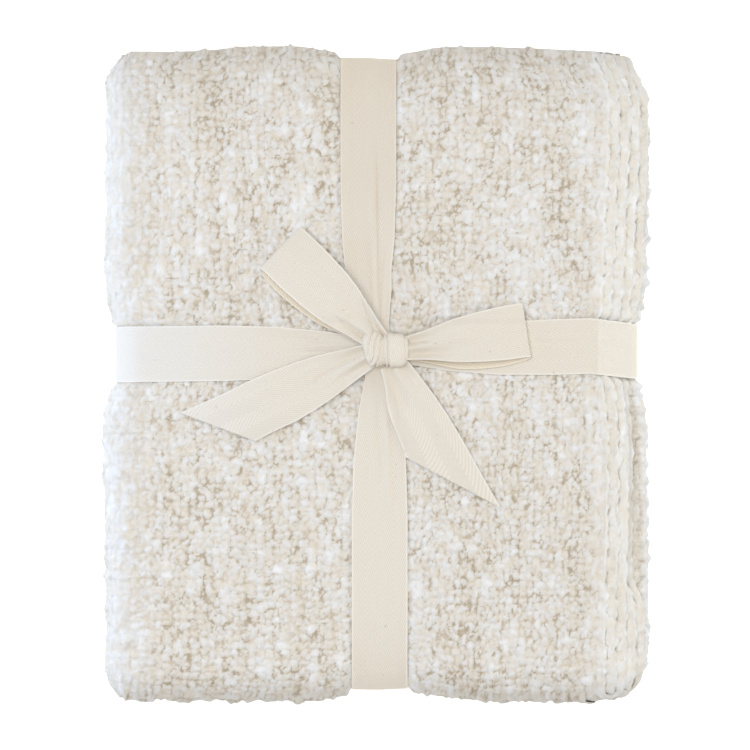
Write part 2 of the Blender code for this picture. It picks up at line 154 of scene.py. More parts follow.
def ease(share):
    """0 before 0, 1 after 1, and a smooth rise between."""
    t = np.clip(share, 0, 1)
    return t * t * (3 - 2 * t)


def fading(inside, reach):
    """1 at an edge and past it, fading to 0 this far inside it."""
    return 1 - ease(inside / reach)


def hump(place, start, rise, end, fall, drop=1):
    """0 before start and 1 after the rise, and from end on it drops over the fall."""
    return ease((place - start) / rise) * (1 - drop * ease((place - end) / fall))


# --- noise ---

SEED, LAYERS, CELLS = 11, 16, 256  # the noise repeats after so many cells
RANDOM = np.random.default_rng(SEED).random((LAYERS, CELLS, CELLS))


def pick(i, j, layer):
    """A random number from 0 to 1 for each pair of whole numbers."""
    return RANDOM[layer][i % CELLS, j % CELLS]


def noise(x, y, layer):
    """Smooth noise from -1 to 1 that changes within one unit of x and y."""
    i, j = np.floor(x).astype(int), np.floor(y).astype(int)
    s, t = ease(x - i), ease(y - j)
    near = pick(i, j, layer) * (1 - s) + pick(i + 1, j, layer) * s
    far = pick(i, j + 1, layer) * (1 - s) + pick(i + 1, j + 1, layer) * s
    return 2 * (near * (1 - t) + far * t) - 1


# --- the stack, pressed and tied ---


def pressed(away, fade=PRESS_FADE):
    """1 under a band and 0 clear of it."""
    past = np.abs(away) - PRESS_FLAT
    return 1 - PRESS_SHARE * ease(past / PRESS_STEP) - (1 - PRESS_SHARE) * ease(past / fade)


def drift(away, along, line):
    """How far aside a band has drifted, for a point this far from it."""
    return np.interp(along, *line) * fading(np.abs(away) - DRIFT_NEAR, DRIFT_FADE)


def rounded(x, y, radius):
    """Draws the square corners of the stack in until they are round."""
    u, v = (np.clip(1 + (np.abs(w) - half) / radius, 0, 1) for w, half in ((x, HALF_X), (y, HALF_Y)))
    in_x, in_y = u * (1 - np.sqrt(1 - v * v / 2)), v * (1 - np.sqrt(1 - u * u / 2))
    return x - np.sign(x) * radius * in_x, y - np.sign(y) * radius * in_y


def settle(points):
    """Moves points of the square, flat stack to where the tape and the cloth's weight leave them."""
    x, y, z = np.moveaxis(np.asarray(points, float), -1, 0)
    out_x, out_y = np.abs(x) / HALF_X, np.abs(y) / HALF_Y
    under_length, under_cross = pressed(x), pressed(y - BAND_Y)
    in_x, in_y = HALF_X - np.abs(x), HALF_Y - np.abs(y)
    near_x, near_y = fading(in_x, PINCH_REACH), fading(in_y, PINCH_REACH)

    new_x, new_y = rounded(x, y, CORNERS[(x > 0).astype(int), (y > 0).astype(int)])
    new_x = new_x - x * PINCH_X / HALF_X * near_x * pressed(y - BAND_Y, PINCH_FADE)
    new_y = new_y - y * PINCH_Y / HALF_Y * near_y * pressed(x, PINCH_FADE)
    phase = np.where(x > 0, RIGHT_PHASE, LEFT_PHASE)
    new_x = new_x + WAVE * out_x**2 * np.sin(SIDE_WAVES * y + phase) * (1 - under_cross)
    new_y = new_y + WAVE * out_y**2 * np.sin(RIM_WAVES * x + RIM_PHASE * np.sign(y)) * (1 - under_length)
    new_x = new_x + drift(x, y, DRIFT_X)
    new_y = new_y + drift(y - BAND_Y, x, DRIFT_Y)
    slack = np.where(y > 0, np.interp(x / MM, *FAR_SLACK), -np.interp(x / MM, *NEAR_SLACK)) * MM
    new_y = new_y - slack * out_y**4

    droop = DROOP * (fading(in_x, DROOP_REACH) ** 2 + fading(in_y, DROOP_REACH) ** 2)
    droop = droop + RIM_ROLL * fading(in_y, RIM_ROLL_REACH) ** 2
    press_x, press_y = (
        under * (PRESS_MIDDLE + (PRESS_RIM - PRESS_MIDDLE) * at_rim)
        for under, at_rim in ((under_cross, near_x), (under_length, near_y))
    )
    down = droop / DROOP_PARTS + np.maximum(press_x, press_y)
    up = CHANNEL * np.maximum(under_length, under_cross)
    high = np.clip(z / STACK, -0.2, 1.2)
    new_z = z - down * high + up * (1 - high)
    return np.stack([new_x, new_y, new_z], -1)


def top_face(x, y):
    """Height of the settled throw's upper face."""
    return settle(np.stack([x, y, np.full(np.shape(x), STACK)], -1))[..., 2]


# --- the fold ---

Path = namedtuple("Path", "distance place height out_place out_height marks")
TURN_POINTS = 40
FIRST_RUN, SECOND_RUN = slice(2, 4), slice(TURN_POINTS + 4, TURN_POINTS + 6)  # their points on a path
BEYOND = 5 * MM  # the first and last runs go on this far past the hems


def book_fold(fold, outside):
    """The path of a book fold from its upper loose end to its lower one, as points. Heights are from the
    middle of the stack. A point w inside the path is at place + w * out_place, and so on. Distances are
    measured this far outside the path, and marks are where runs and turns begin."""
    pitch, press, loose = fold.pitch, fold.turn_press, fold.loose_press
    near = press * (2 * pitch - GAP / 2) - fold.half
    far = fold.half - loose * (pitch - GAP / 2)
    hem = fold.half - fold.hem_back

    def run(start, end, height, outwards):
        return [(place, height, 0, outwards) for place in (start, end)]

    def turn(place, height, radius, first, last, flat, sign):
        angle = np.linspace(first, last, TURN_POINTS)
        c, s = np.cos(angle), np.sin(angle)
        return list(zip(place + flat * radius * c, height + radius * s, sign * flat * c, sign * s))

    legs = [
        run(hem + BEYOND, hem, 1.5 * pitch, -1),
        run(hem, near, 1.5 * pitch, -1),
        turn(near, 0, 1.5 * pitch, pi / 2, 3 * pi / 2, press, -1),
        run(near, far, -1.5 * pitch, 1),
        turn(far, -pitch, 0.5 * pitch, -pi / 2, pi / 2, loose, -1),
        run(far, near, -0.5 * pitch, -1),
        turn(near, 0, 0.5 * pitch, 3 * pi / 2, pi / 2, press, 1),
        run(near, hem, 0.5 * pitch, 1),
        run(hem, hem + BEYOND, 0.5 * pitch, 1),
    ]
    points = np.array([point for leg in legs for point in leg])
    place, height, out_place, out_height = points.T
    steps = np.hypot(np.diff(place - outside * out_place), np.diff(height - outside * out_height))
    distance = np.concatenate([[0], np.cumsum(steps)]) - BEYOND
    ends = np.cumsum([len(leg) for leg in legs])[:-1]
    return Path(distance, place, height, out_place, out_height, distance[ends])


# Marks: hem, outer turn, run, turn at the loose end, run, inner turn, run, hem.
ALONG = book_fold(LENGTH_FOLD, 0)
ACROSS = book_fold(WIDTH_FOLD, 1.5 * LAYER)


def follow(path, distance):
    """A path's place, height and way out at these distances along it."""
    return [np.interp(distance, path.distance, column) for column in path[1:5]]


def stacked(across, along, out):
    """Points of the square, flat stack: distances across and along the cloth, and out from its middle."""
    place, height, out_place, out_height = follow(ALONG, along)
    y, inside = place - out * out_place, height - out * out_height
    place, height, out_place, out_height = follow(ACROSS, across)
    x, z = place + inside * out_place, STACK / 2 + height + inside * out_height

    hem = HALF_X - WIDTH_FOLD.hem_back
    loose = np.clip((place - HEM_FROM) / (hem - HEM_FROM), 0, HEM_MOST)
    loose = loose * ((across < ACROSS.marks[1]) | (across > ACROSS.marks[6]))
    back = HEM_CORNER * ease((y / HALF_Y - HEM_CORNER_FROM) / (1 - HEM_CORNER_FROM))
    back = back + HEM_WAVE * np.sin(HEM_WAVES * y)
    away = z - (STACK - BUNDLE)
    away = away - LAYER / pi * np.sin(pi * away / LAYER)  # the layers keep together in twos
    start, end = HEM_SLIP_SPAN
    slip = HEM_SLIP * ease((y - start) / HEM_SLIP_FADE) * ease((end - y) / HEM_SLIP_FADE)
    x = x - loose * (HEM_LEAN * away + back + slip * ease(-away / LAYER - 0.5))

    loose_x, loose_y = rounded(x, y, LOOSE_CORNERS[(y > 0).astype(int)])
    below = (height < 0) & (x > 0)
    return np.stack([np.where(below, loose_x, x), np.where(below, loose_y, y), z], -1)


def cloth(across, along, out):
    """Points of the folded and tied cloth."""
    return settle(stacked(across, along, out))


# --- meshes ---


def place_object(name, data, place=(0, 0, 0)):
    """Puts a mesh, a lamp or a camera into the scene."""
    made = bpy.data.objects.new(name, data)
    made.location = place
    bpy.context.scene.collection.objects.link(made)
    return made


def add_object(name, points, faces, attributes=()):
    """A smooth mesh from points and four-sided faces, with numbers kept at its points for its material."""
    mesh = bpy.data.meshes.new(name)
    mesh.vertices.add(len(points))
    mesh.vertices.foreach_set("co", np.asarray(points, np.float32).ravel())
    mesh.loops.add(faces.size)
    mesh.loops.foreach_set("vertex_index", faces.astype(np.int32).ravel())
    mesh.polygons.add(len(faces))
    mesh.polygons.foreach_set("loop_start", np.arange(0, faces.size, 4, dtype=np.int32))
    mesh.update(calc_edges=True)
    for label, values in dict(attributes).items():
        kept = mesh.attributes.new(label, "FLOAT", "POINT")
        kept.data.foreach_set("value", np.asarray(values, np.float32).ravel())
    mesh.shade_smooth()
    return place_object(name, mesh)


def grid_faces(rows, columns, first=0):
    """The faces between neighbouring points of a grid."""
    i = first + np.arange(rows * columns).reshape(rows, columns)
    return np.stack([i[:-1, :-1], i[1:, :-1], i[1:, 1:], i[:-1, 1:]], -1).reshape(-1, 4)


def add_skin(name, points, feet, attributes):
    """An open grid of points whose faces look away from their feet."""
    faces = grid_faces(*points.shape[:2])
    points, feet = points.reshape(-1, 3), feet.reshape(-1, 3)
    corners = points[faces]
    normal = np.cross(corners[:, 2] - corners[:, 0], corners[:, 3] - corners[:, 1])
    outwards = (normal * (corners - feet[faces]).sum(1)).sum() > 0
    return add_object(name, points, faces if outwards else faces[:, ::-1], attributes)


def closed_sheet(name, front, back, attributes=()):
    """An object with two faces, each a grid of points, and a rim that closes them."""
    rows, columns = front.shape[:2]
    i = np.arange(rows * columns).reshape(rows, columns)
    rim = np.concatenate([i[:-1, 0], i[-1, :-1], i[:0:-1, -1], i[0, :0:-1]])
    after = np.roll(rim, -1)
    faces = [grid_faces(rows, columns), grid_faces(rows, columns, rows * columns)[:, ::-1]]
    faces.append(np.stack([after, rim, rim + rows * columns, after + rows * columns], -1))
    both = {label: np.stack([values, values]) for label, values in dict(attributes).items()}
    points = np.concatenate([front.reshape(-1, 3), back.reshape(-1, 3)])
    made = add_object(name, points, np.concatenate(faces), both)
    ends = np.zeros(len(made.data.edges) * 2, np.int32)
    made.data.edges.foreach_get("vertices", ends)
    on_rim = np.zeros(len(points), bool)
    on_rim[np.concatenate([rim, rim + rows * columns])] = True
    sharp = made.data.attributes.new("sharp_edge", "BOOLEAN", "EDGE")
    sharp.data.foreach_set("value", on_rim[ends].reshape(-1, 2).all(1))
    return made


def spaced(start, end, step):
    """Places from start to end, about a step apart."""
    return np.linspace(start, end, max(2, round((end - start) / step) + 1))


FLAT_STEP, FLAT_SKIP = 4 * MM, 3  # on the flat runs of a sheet, only every third place is kept
SLOPE_AT, SLOPE_HALF = 23 * MM, 13 * MM  # but on the slopes beside a band all are


def stations(path, band_at, turn_step):
    """Places along a fold's path, closer together in the turns and on the slopes beside the bands."""
    hem, outer, back_run, loose, run, inner, last_run, end = path.marks
    found = [spaced(*leg, turn_step) for leg in ((outer, back_run), (loose, run), (inner, last_run))]
    for leg in ((hem, outer), (back_run, loose), (run, inner), (last_run, end)):
        places = spaced(*leg, FLAT_STEP)
        away = np.abs(np.interp(places, path.distance, path.place) - band_at)
        kept = (np.arange(len(places)) % FLAT_SKIP == 0) | (np.abs(away - SLOPE_AT) < SLOPE_HALF)
        found += [places[kept], places[-1:]]
    return np.unique(np.round(np.concatenate(found), 6))


# --- the boucle weave ---

Yarns = namedtuple("Yarns", "height lift white")  # lift carries painted shade, 0 deep in a hole or crease and 1 on a yarn's top; white is 1 in a slub
# Half the size of a bump each way, its height, how pale it is, and how far it is turned and out of its place.
Bump = namedtuple("Bump", "half_u half_v rise tone turn stray")


def slub(yarn, row, streak):
    """How thick a lengthwise yarn is at a row: mostly 0, and 1 in a slub, which runs on over a few rows."""
    return ease((noise(yarn, row / 2.2, 0) + 0.25 * streak - 0.5) / 0.3)


def heap(u, v, shape):
    """The highest at each place of many bumps, one near each pair of whole numbers, its tone, and how far
    it stands over the next highest there."""
    columns, rows = np.round(u).astype(int), np.round(v).astype(int)
    height, tone, second = (np.zeros(np.shape(u)) for _ in range(3))
    for side in (-1, 0, 1):
        for ahead in (-1, 0, 1):
            i, j = columns + side, rows + ahead
            bump = shape(i, j)
            away_u = u - i - bump.stray * (pick(i, j, 10) - 0.5)
            away_v = v - j - bump.stray * (pick(i, j, 11) - 0.5)
            turned_u = away_u * np.cos(bump.turn) + away_v * np.sin(bump.turn)
            turned_v = away_v * np.cos(bump.turn) - away_u * np.sin(bump.turn)
            fullness = 1 - (turned_u / bump.half_u) ** 2 - (turned_v / bump.half_v) ** 2
            rise = bump.rise * np.clip(fullness, 0, 1) ** ROUND
            second = np.maximum(second, np.minimum(rise, height))
            tone = np.where(rise > height, bump.tone, tone)
            height = np.maximum(height, rise)
    return height, tone, height - second


def boucle(across, along):
    """The weave at places across and along the cloth: the height of the yarns over their feet, how far each
    place is from a hole, which carries the painted shade of the hollows and creases, and how white its yarn
    is."""

    def spots(size_across, size_along, layer):
        """Noise with spots of this size in mm."""
        return noise(across / (size_across * MM), along / (size_along * MM), layer)

    u = across + SWAY_U * spots(34, 26, 1) + JITTER * spots(2.7, 3.1, 3)
    v = along + SWAY_V * spots(31, 29, 2) + JITTER * spots(3.1, 2.7, 4)
    streak = 0.8 * spots(9, 60, 5) + 0.6 * spots(5, 28, 6)

    def knuckle(yarn, row):
        """A yarn where it passes over another: a lengthwise one at every second crossing."""
        lengthwise = (yarn + row) % 2 == 0
        thick = slub(yarn, row, streak)
        one, two, three = (pick(yarn, row, layer) for layer in (7, 8, 9))
        size = 0.85 + 0.3 * three
        wide = size * (0.40 + 0.12 * one + 0.12 * thick)
        long = size * (0.54 + 0.16 * two + 0.22 * thick)
        half_u, half_v = np.where(lengthwise, (wide, long), (long, wide))
        rise = size * (1.35 + 0.35 * one + 0.4 * thick + 0.2 * lengthwise) * MM
        tone = 1.5 * pick(yarn, row, 13) - 0.95 + 0.5 * thick
        turn = 1.6 * (pick(yarn, row, 14) - 0.5) * (1 - 0.7 * thick)
        return Bump(half_u, half_v, rise, tone, turn, stray=0.42)

    def tuft(i, j):
        """A bigger loop of the yarn, which lies any way and fills a gap."""
        big, long = pick(i, j, 8), pick(i, j, 9)
        tone, turn = 1.5 * pick(i, j, 7) - 0.95, 2.4 * (pick(i, j, 15) - 0.5)
        return Bump(0.34 + 0.2 * big, 0.5 + 0.4 * long, (0.55 + 1.15 * big) * MM, tone, turn, stray=0.8)

    def curl(i, j):
        """One of the small loops that the yarn throws up."""
        big, long, turn = pick(i, j, 7), pick(i, j, 8), pi * pick(i, j, 9)
        return Bump(0.4 + 0.3 * big, 0.55 + 0.3 * long, (0.1 + 0.55 * big) * MM, 0.5 * big, turn, stray=0.7)

    height, tone, over_next = heap(u / YARN, v / YARN, knuckle)
    tufts, tuft_tone, over_tuft = heap(u / TUFT + 0.3, v / TUFT, tuft)
    curls, curl_tone, over_curl = heap(across / CURL, along / CURL, curl)
    over_tuft = np.minimum(over_tuft, tufts - height)
    over_next = np.where(height > tufts, np.minimum(over_next, height - tufts), over_tuft)
    tone = np.where(height > tufts, tone, tuft_tone)
    height = np.maximum(height, tufts)

    clump = spots(7, 9, 12)
    # Painted shade goes in the creases between yarns, down in the hollows, darker in spots, and beside the
    # small loops; the dull yarns, streaks and clumps are the yarn's own tone.
    crease = fading(over_next, CREASE_REACH)
    low = fading(height + LOW_START, LOW_REACH) * (0.9 + 0.3 * spots(1.1, 1.2, 10))
    shade_spots = ease((spots(2.0, 2.8, 14) + 0.35) / 0.8)
    shade = HOLLOW_SHADE * low * (0.7 + 0.45 * shade_spots) + (0.16 + 0.5 * shade_spots) * crease
    shade = shade + CURL_SHADE * fading(over_curl, CURL_EDGE) - STREAK_PALE * streak
    shade = shade + DULL_DEEP * np.clip(-tone, 0, 1) - CLUMP_PALE * clump
    white = 0.8 * tone + 0.25 * (curl_tone - 0.2) + 0.16 * streak + 0.06 * clump

    height = height * (1 + 0.16 * clump) - CREASE * crease + curls
    fluff = FLUFF * spots(1.5, 1.7, 12) + FLUFF * spots(0.9, 0.9, 13)
    height = np.clip(height + fluff * MM, 0, YARN_MOST)
    return Yarns(height, 1 - np.clip(shade, 0, 1), np.clip(white, 0, 1))


def band_width(away):
    """Width of a band this far from the knot."""
    return np.interp(np.abs(away), GATHER_AWAY, GATHER_WIDTH)


def flattened(height, across, along, out):
    """The yarns' height, which the tape presses down where it lies on the stack."""
    x, y, _ = np.moveaxis(stacked(across, along, out), -1, 0)
    clear_length = np.abs(x) - band_width(y - KNOT[1]) / 2
    clear_cross = np.abs(y - BAND_Y) - band_width(x - KNOT[0]) / 2
    past, fade = TAPE_EDGE
    clear = 1 - fading(np.minimum(clear_length, clear_cross) - past, fade)
    return np.clip(height, 0, YARN_PRESSED + (YARN_MOST + NUB - YARN_PRESSED) * clear)


def in_turn(path, distance):
    """1 in the turns that show, and 0 clear of them."""
    clear = [np.maximum(path.marks[k] - distance, distance - path.marks[k + 1]) for k in (1, 3)]
    return fading(np.minimum(*clear), NUB_FADE)


def lumps(u, v, layer):
    """Where yarns are thick they stand out, and where they are thin they sink."""
    return LUMP * ease((noise(u, v, layer) + 0.2) / 0.8) - LUMP / 3


def nubs(across, along, turn_across, turn_along):
    """The knots and the thick yarns that stand out where the cloth turns."""
    knots = NUB * ease((noise(across / (6 * MM), along / (5 * MM), 15) - 0.35) / 0.5)
    over_side = turn_across * lumps(across / LUMP_LENGTH, along / LUMP_SIZE, 9)
    over_rim = (1 - turn_across) * turn_along * lumps(across / LUMP_SIZE, along / LUMP_LENGTH, 10)
    return np.maximum(turn_across, turn_along) * knots + over_side + over_rim


def rim_painted_shade(along):
    """How much painted shade darkens the cloth towards the near and far rims."""
    place = follow(ALONG, along)[0]
    inside = HALF_Y - np.abs(place)
    far = FAR_PAINTED_SHADE * np.exp(-inside / FAR_PAINTED_SHADE_REACH)
    return np.where(place < 0, NEAR_PAINTED_SHADE * fading(inside, NEAR_PAINTED_SHADE_REACH), far)


def yarn_skin(name, across, along, shade=0, painted_light=0, painted_shade=0):
    """The yarns over one part of the cloth that shows, as a grid. Where shade is given it gets painted tan
    shade, where painted light is given it shows less of the holes, and it is darkened by painted shade at
    least this much."""
    across, along = np.meshgrid(across, along, indexing="ij")
    yarns = boucle(across, along)
    height = yarns.height + nubs(across, along, in_turn(ACROSS, across), in_turn(ALONG, along))
    height = flattened(height, across, along, CLOTH / 2)
    points = cloth(across, along, CLOTH / 2 - YARN_SUNK + height)
    points[..., 2] = np.maximum(points[..., 2], FLOOR)
    painted_shade = np.maximum(rim_painted_shade(along), painted_shade)
    # Painted light lifts the tone out of the holes, and painted shade sinks it.
    lift = (yarns.lift + painted_light * (1 - yarns.lift)) * (1 - shade)
    lift = lift * (1 - FAR_HOLLOW_SHADE * painted_shade * (follow(ALONG, along)[0] > 0))
    kept = {"lift": lift, "white": yarns.white * (1 - shade), "painted_shade": painted_shade}
    return add_skin(name, points, cloth(across, along, 0), kept)


def between_layers(across, along, out):
    """How deep in the shade the loose ends are where they step back between two pairs of layers."""
    _, y, z = np.moveaxis(stacked(across, along, out), -1, 0)
    foremost = np.cos(pi * (z - STACK + BUNDLE) / LAYER)
    return ease((0.4 - foremost) / 1.1) * (0.34 + 0.3 * noise(y / (22 * MM), z / LAYER, 13))


def hem_skin(name, path, other_path, at_start, reach, step):
    """The yarns round a cut edge: up the outer face, over the edge, where they puff out, and a little way
    back. Down between the layers they are in the shade."""
    edge, beyond = (path.marks[0], -1) if at_start else (path.marks[-1], 1)
    radius = CLOTH / 2
    over = np.linspace(0, pi, 8)[1:-1]
    outer, inner = np.arange(reach, 0, -step), np.arange(step, 0.5 * reach, 1.4 * step)

    def rows(on_outer, on_edge, on_inner):
        """A value for each row of the grid."""
        legs = ((on_outer, outer), (on_edge, over), (on_inner, inner))
        return np.concatenate([np.broadcast_to(value, leg.shape) for value, leg in legs])[:, None]

    depth = rows(-outer, radius * np.sin(over), -inner)
    weave_at = rows(-outer, HEM_ROUND * radius * over, HEM_ROUND * radius * pi + inner)
    other = spaced(other_path.marks[0], other_path.marks[-1], step)
    place, other = np.broadcast_arrays(edge + beyond * depth, other)
    weave_place = np.broadcast_to(edge + beyond * weave_at, place.shape)
    facing = np.broadcast_to(rows(1, np.cos(over), -1), place.shape)  # out from the cloth's middle
    out = radius * facing
    crosswise = path is ACROSS
    across, along = (place, other) if crosswise else (other, place)
    if crosswise:
        at_edge = rows(fading(outer - HEM_STRETCH_FROM, HEM_STRETCH_FADE), 1, 1)
        plain, stretched = boucle(weave_place, along), boucle(weave_place, HEM_STRETCH * along)
        yarns = Yarns(*(a * (1 - at_edge) + b * at_edge for a, b in zip(plain, stretched)))
    else:
        yarns = boucle(across, weave_place)
    turns = rows(fading(outer - NUB_FADE / 2, NUB_FADE), 1, 1), in_turn(other_path, other)
    bumps = HEM_NUBS * nubs(across, along, *(turns if crosswise else turns[::-1]))
    firm = 1 - HEM_FIRM * rows(fading(outer, HEM_FIRM_REACH), 1, 1)
    puff = rows(fading(outer, HEM_PUFF_REACH), 1, fading(inner, HEM_PUFF_REACH))
    height = flattened(firm * yarns.height + bumps + HEM_PUFF * puff, across, along, out)
    corner = ease(np.minimum(other - other[0, 0], other[0, -1] - other) / HEM_FIRM_REACH)
    height = np.where(depth > 0, YARN_SUNK + corner * (height - YARN_SUNK), height) - YARN_SUNK
    points = cloth(across, along, out + facing * height)
    if crosswise:
        points[..., 0] += HEM_OUT * height * np.sqrt(np.clip(1 - facing**2, 0, 1))
    pale = fading(rows(outer, 0, inner), HEM_PALE_REACH)
    shade = between_layers(across, along, out) if crosswise else 0
    lift = (yarns.lift + HEM_PALE * pale * (1 - yarns.lift)) * (1 - shade)
    white = np.clip(yarns.white + HEM_PALE / 2 * pale - shade, 0, 1)
    kept = {"lift": lift, "white": white, "painted_shade": rim_painted_shade(along)}
    return add_skin(name, points, cloth(across, along, 0), kept)


# --- the throw ---

SHEET_STEPS = 5 * MM, 1.6 * MM  # round the turns of the plain sheet, across and along the cloth
SIDE_STEP, NEAR_STEP, FAR_STEP, UNDER_STEP = 1 * MM, 1.1 * MM, 0.9 * MM, 2.4 * MM  # of the skins
NEAR_SHADE, FAR_SHADE, RIM_SHADE_REACH = 0.15, 0.55, 6 * MM
LEFT_PAINTED_LIGHT = 0.42  # painted light: the left fold shows less of its holes, so it looks paler
# Where humps of tone start, how they rise, where they end and how they fall: painted light round the left
# # fold, painted shade along the open stretch of the gap over the loose loop, and painted light on the rope
# of
# # yarns further down.
LEFT_SPAN = -22 * MM, 30 * MM, 14 * MM, 14 * MM
OPEN_SPAN = -130 * MM, 30 * MM, -50 * MM, 45 * MM
ROPE_SPAN, ROPE_PAINTED_LIGHT = (6.5 * MM, 3 * MM, 22 * MM, 10 * MM), 0.75


def loop_tones(down, place):
    """How much painted shade the loose loop gets, this far below the gap over it and at places along the gap,
    which is open on a stretch, and how much painted light the rope of yarns further down gets."""
    opened = hump(place, *OPEN_SPAN)
    shade = (0.5 + 0.2 * opened) * fading(down - (3 + 2 * opened) * MM, (6 - 2.5 * opened) * MM)
    return shade, ROPE_PAINTED_LIGHT * hump(down, *ROPE_SPAN)


def make_throw():
    """The plain folded sheet, and the skins of yarns on it."""
    turn_across, turn_along = SHEET_STEPS
    places = stations(ACROSS, 0, turn_across), stations(ALONG, BAND_Y, turn_along)
    across, along = np.meshgrid(*places, indexing="ij")
    sheet = closed_sheet("throw_cloth", cloth(across, along, -CORE / 2), cloth(across, along, CORE / 2))

    hem, outer, bottom, loop, loop_end, *_, last_hem = ACROSS.marks
    _, rim, face, far_rim, under, *_ = ALONG.marks
    middle_x = np.interp(0, -ACROSS.place[FIRST_RUN], ACROSS.distance[FIRST_RUN])
    middle_y = np.interp(BAND_Y, ALONG.place[SECOND_RUN], ALONG.distance[SECOND_RUN])
    left, right = spaced(middle_x, outer, FINE), spaced(hem + HEM_BARE[0], middle_x, FINE)
    low, high = spaced(face, middle_y, FINE), spaced(middle_y, far_rim, FINE)
    left_turn, whole = spaced(outer, bottom, SIDE_STEP), spaced(face, far_rim, SIDE_STEP)
    painted_light_left, painted_light_turn = (
        LEFT_PAINTED_LIGHT * hump(place[:, None] - outer, *LEFT_SPAN, drop=0.8)
        for place in (left, left_turn)
    )
    loose_loop = spaced(loop, loop_end, SIDE_STEP)
    in_gap, painted_light_rope = loop_tones(loop_end - loose_loop[:, None], follow(ALONG, whole)[0])
    between_hems = spaced(hem + HEM_BARE[0], last_hem - HEM_BARE[1], NEAR_STEP)
    near_turn, far_turn = spaced(rim, face, NEAR_STEP), spaced(far_rim, under, FAR_STEP)
    near_shade = NEAR_SHADE * ease((face - near_turn) / RIM_SHADE_REACH)
    far_shade = FAR_SHADE * ease((far_turn - far_rim) / RIM_SHADE_REACH)
    below = spaced(bottom, loop, UNDER_STEP), spaced(face, far_rim, UNDER_STEP)
    skins = [
        yarn_skin("yarns_upper_left", left, high, painted_light=painted_light_left),
        yarn_skin("yarns_upper_right", right, high),
        yarn_skin("yarns_lower_left", left, low, painted_light=painted_light_left),
        yarn_skin("yarns_lower_right", right, low),
        yarn_skin("yarns_left_fold", left_turn, whole, painted_light=painted_light_turn),
        yarn_skin("yarns_underside", *below),
        yarn_skin("yarns_loose_loop", loose_loop, whole, in_gap, painted_light_rope, LOOP_PAINTED_SHADE),
        yarn_skin("yarns_near_rim", between_hems, near_turn, near_shade),
        yarn_skin("yarns_far_rim", between_hems, far_turn, far_shade),
        hem_skin("yarns_upper_hem", ACROSS, ALONG, True, 11 * MM, 1.1 * MM),
        hem_skin("yarns_lower_hem", ACROSS, ALONG, False, 9 * MM, 1.2 * MM),
        hem_skin("yarns_first_end", ALONG, ACROSS, True, 4 * MM, 1.4 * MM),
        hem_skin("yarns_last_end", ALONG, ACROSS, False, 4 * MM, 1.4 * MM),
    ]
    return sheet, skins


# --- the tape ---

# The bow: each part runs straight from start to end. A row gives the share of the way, the lift over the
# upper face, the width and the sideways shift there, and how far one edge is ahead of the middle.
Row = namedtuple("Row", "way lift width shift skew", defaults=(0, 0))
Bow = namedtuple("Bow", "name start end rows")
BOW = [
    Bow("upper_loop", start=(3, 17), end=(-55, 72.5), rows=[
        Row(0.02, 5.2, 13), Row(0.20, 4.8, 17, -1.5), Row(0.45, 3.4, 27, -3.5), Row(0.75, 2.6, 32, -3.8),
        Row(0.95, 2.6, 33, -2.6), Row(1.00, 4.2, 33, -1.2), Row(0.97, 6.0, 33, 0), Row(0.75, 9.0, 33, 0),
        Row(0.45, 11.0, 29, 0), Row(0.20, 10.6, 19, 0), Row(0.02, 9.0, 13),
    ]),
    Bow("right_loop", start=(14, 14.5), end=(85, 25.5), rows=[
        Row(0.02, 5.2, 13), Row(0.20, 4.6, 17, 1.8), Row(0.45, 3.6, 26, 3.6), Row(0.75, 3.2, 30, 3.6),
        Row(0.95, 3.2, 31, 1.8), Row(1.00, 4.6, 31, 0.8), Row(0.97, 6.2, 31, 0), Row(0.75, 9.6, 30, 0),
        Row(0.45, 11.2, 25, 0), Row(0.20, 10.6, 17, 0), Row(0.02, 9.0, 13),
    ]),
    Bow("left_end", start=(-2, 12), end=(-91, -30), rows=[
        Row(0.02, 6.4, 14), Row(0.15, 5.4, 19), Row(0.35, 3.9, 27), Row(0.60, 3.6, 32, 0, 4),
        Row(0.80, 3.0, 32, 0, 10), Row(1.00, 2.6, 33, 0, 16),
    ]),
    Bow("right_end", start=(8, 8), end=(43.6, -61.7), rows=[
        Row(0.02, 6.4, 15), Row(0.15, 5.2, 20), Row(0.35, 4.0, 27, 0, -6), Row(0.55, 3.8, 31, 0, -12),
        Row(0.78, 3.2, 33, 0, -19), Row(1.00, 2.6, 35, 0, -25),
    ]),
]
BOW_STEPS = 9  # stations for each row of a bow part
LOOP_HALF, LOOP_FADE = 0.40, 0.06  # the first share of a loop lies under the rest, and in its shade
PLEAT = 1.3 * MM  # depth of the gathers near the knot
GATHER_FROM, GATHER_BY = 0.94 * TAPE_WIDTH, 0.5 * TAPE_WIDTH  # they begin at this width, whole this far below
RIM_STEPS, UNDER_STEPS, TOP_STEP = 41, 31, 2 * MM  # stations of a band round each rim, below and on top
KNOT_HALF, RIM_APART = 4 * MM, 3 * MM  # those on top end this far from the knot and from the rims' own
TONE_FROM, TONE_REACH = 40 * MM, 80 * MM  # from here out the tape gets painted shade towards the far end and painted light towards the left
FRAY_SEED, FRAY_COUNT, FRAY_BENDS = 5, 150, 4
FRAY_REACH, FRAY_THICK = 2.2 * MM, 0.16 * MM
FRAY_ROOT, FRAY_TAPER = 0.35, 0.6  # share of a thread inside the tape, and what its end is thinner by
Strip = namedtuple("Strip", "piece length middle")  # a length of tape, and the points on its middle
